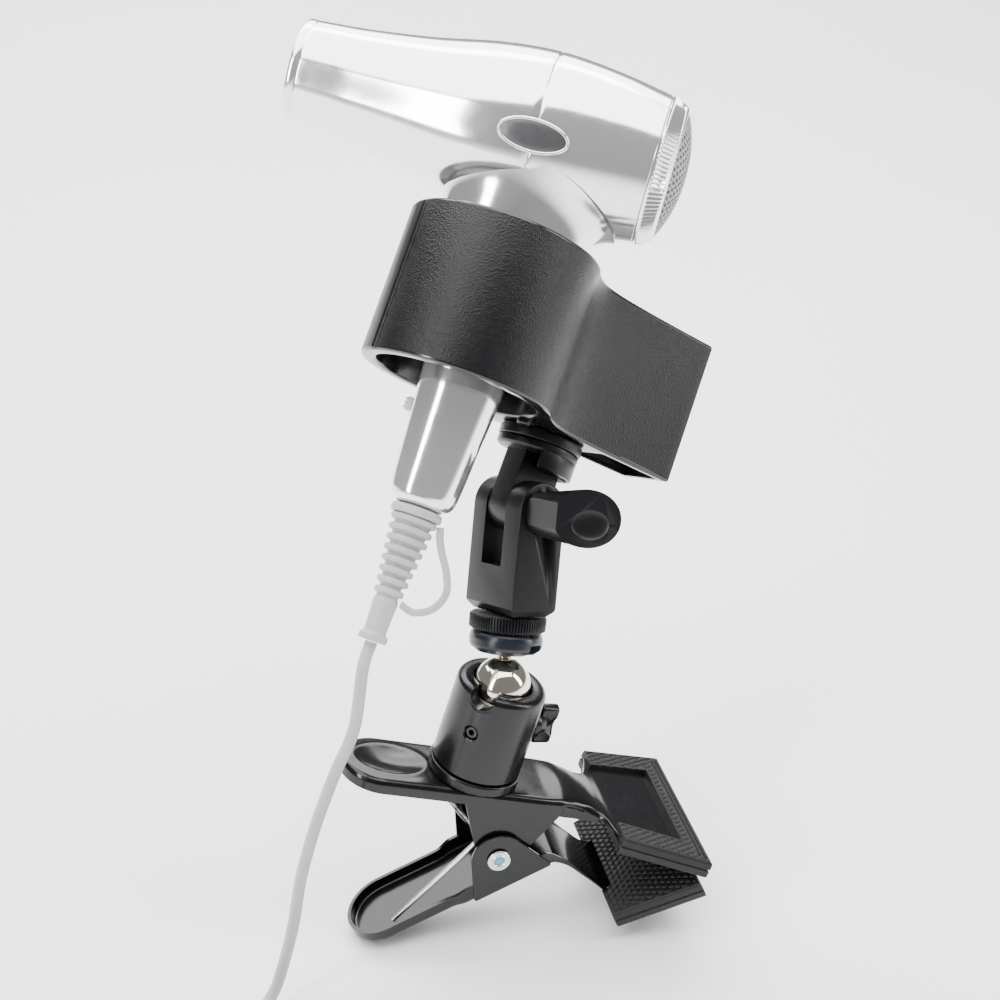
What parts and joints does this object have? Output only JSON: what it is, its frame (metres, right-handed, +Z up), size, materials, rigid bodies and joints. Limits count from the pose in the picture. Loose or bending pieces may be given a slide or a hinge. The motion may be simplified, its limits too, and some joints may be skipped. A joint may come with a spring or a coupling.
{
  "type": "pet dryer",
  "caption": "Pistol-grip pet dryer with a trailing cord, held upright in a ring holder on a knuckle and ball-head stand that grips a table edge in a sprung clamp.",
  "frame": {"origin": "middle of the clamp's grip, on the line where the two jaw pads meet at the mouth", "axes": "+X out of the clamp's mouth, away from its handles; +Z up; +Y completes a right-handed frame, towards the dryer's far side"},
  "size_m": [0.3159, 0.2726, 0.3969],
  "materials": {
    "black_enamel": "gloss black stoved enamel on pressed steel",
    "black_anodised": "satin black anodised",
    "pad_rubber": "matt black, moulded diamond lattice",
    "zinc_steel": "bright zinc plate",
    "ball_chrome": "mirror polished",
    "stud_brass": "plain brass",
    "dark_plastic": "dark grey with an orange-peel grain",
    "shell_bright": "bright chrome-plated plastic",
    "grey_plastic": "mid grey",
    "pale_plastic": "pale grey",
    "mica_board": "pale mica board",
    "cord_rubber": "pale grey flexible sheath"
  },
  "bodies": {
    "clamp": {"upper_arm": "black_enamel", "upper_pad": "pad_rubber", "pivot_rivet": "zinc_steel", "torsion_spring": "zinc_steel", "base_ring": "black_anodised", "ball_housing": "black_anodised", "ball_seat": "grey_plastic", "grub_screw": "zinc_steel", "base_screw": "zinc_steel", "cord_coil": "cord_rubber", "cord_tail": "cord_rubber", "plug_body": "pale_plastic", "plug_pin_1": "zinc_steel", "plug_pin_2": "zinc_steel"},
    "lower_jaw": {"lower_arm": "black_enamel", "lower_pad": "pad_rubber"},
    "lock_knob": {"lock_knob": "black_anodised"},
    "ball": {"ball": "ball_chrome", "ball_stud": "stud_brass"},
    "shoe": {"shoe_foot": "black_anodised", "fork": "dark_plastic", "knuckle_nut": "zinc_steel"},
    "wheel": {"shoe_wheel": "dark_plastic"},
    "knob": {"wing_knob": "dark_plastic", "knuckle_bolt": "zinc_steel"},
    "head": {"tongue": "dark_plastic", "holder_stud": "zinc_steel"},
    "holder": {"holder": "dark_plastic", "swivel_disc": "dark_plastic"},
    "dryer": {"barrel_front": "shell_bright", "barrel_rear": "shell_bright", "handle": "shell_bright", "badge": "grey_plastic", "nozzle_grille": "zinc_steel", "heater_former": "mica_board", "heater_coil_1": "zinc_steel", "heater_coil_2": "zinc_steel", "heater_coil_3": "zinc_steel", "motor_mount": "grey_plastic", "motor": "zinc_steel", "strain_relief": "cord_rubber", "hang_loop": "cord_rubber", "cord_run": "cord_rubber"},
    "cap": {"rear_cap": "shell_bright", "rear_grille": "grey_plastic"},
    "fan": {"fan": "grey_plastic"},
    "switch": {"power_switch": "pale_plastic"}
  },
  "joints": [
    {"name": "jaw_open", "type": "hinge", "parent": "clamp", "child": "lower_jaw", "pos_m": [-0.08584, 0, 0.00956], "axis": [0, 1, 0], "range_deg": [0, 38], "stiffness_Nm_per_rad": 2, "springref_deg": -34.38, "deforming": ["torsion_spring"]},
    {"name": "lock_knob_turn", "type": "hinge", "parent": "clamp", "child": "lock_knob", "pos_m": [-0.06514, 0.00457, 0.06417], "axis": [0.9339, 0.2079, -0.2909], "range_deg": [-180, 90]},
    {"name": "ball_lean", "type": "hinge", "parent": "clamp", "child": "ball", "pos_m": [-0.07974, 0, 0.08967], "axis": [-0.9131, -0.2922, 0.2844], "range_deg": [-52, 11], "deforming": ["cord_run"]},
    {"name": "stack_turn", "type": "hinge", "parent": "ball", "child": "shoe", "pos_m": [-0.07974, 0, 0.08967], "axis": [0.1718, 0.3567, 0.9183], "range_deg": [-45, 45], "deforming": ["cord_run"]},
    {"name": "wheel_spin", "type": "hinge", "parent": "shoe", "child": "wheel", "pos_m": [-0.07545, 0.00892, 0.11263], "axis": [0.1718, 0.3567, 0.9183], "continuous": true},
    {"name": "knob_turn", "type": "hinge", "parent": "shoe", "child": "knob", "pos_m": [-0.06599, 0.02854, 0.16313], "axis": [0.3978, -0.8779, 0.2666], "continuous": true},
    {"name": "knuckle_tilt", "type": "hinge", "parent": "shoe", "child": "head", "pos_m": [-0.06599, 0.02854, 0.16313], "axis": [0.3978, -0.8779, 0.2666], "range_deg": [-30, 40], "deforming": ["cord_run"]},
    {"name": "holder_swivel", "type": "hinge", "parent": "head", "child": "holder", "pos_m": [-0.05394, 0.04073, 0.18527], "axis": [0.4307, 0.4353, 0.7906], "range_deg": [-60, 35], "deforming": ["cord_run"]},
    {"name": "dryer_lift", "type": "slide", "parent": "holder", "child": "dryer", "axis": [0.4307, 0.4353, 0.7906], "range_m": [0, 0.12], "deforming": ["cord_run"]},
    {"name": "cap_twist", "type": "hinge", "parent": "dryer", "child": "cap", "pos_m": [-0.00314, 0.05246, 0.3032], "axis": [0.8972, -0.3787, -0.2273], "range_deg": [0, 25]},
    {"name": "fan_spin", "type": "hinge", "parent": "dryer", "child": "fan", "pos_m": [-0.04172, 0.06875, 0.31297], "axis": [0.8972, -0.3787, -0.2273], "continuous": true},
    {"name": "power_switch_slide", "type": "slide", "parent": "dryer", "child": "switch", "axis": [0.4307, 0.4353, 0.7906], "range_m": [-0.0025, 0.0025]}
  ]
}
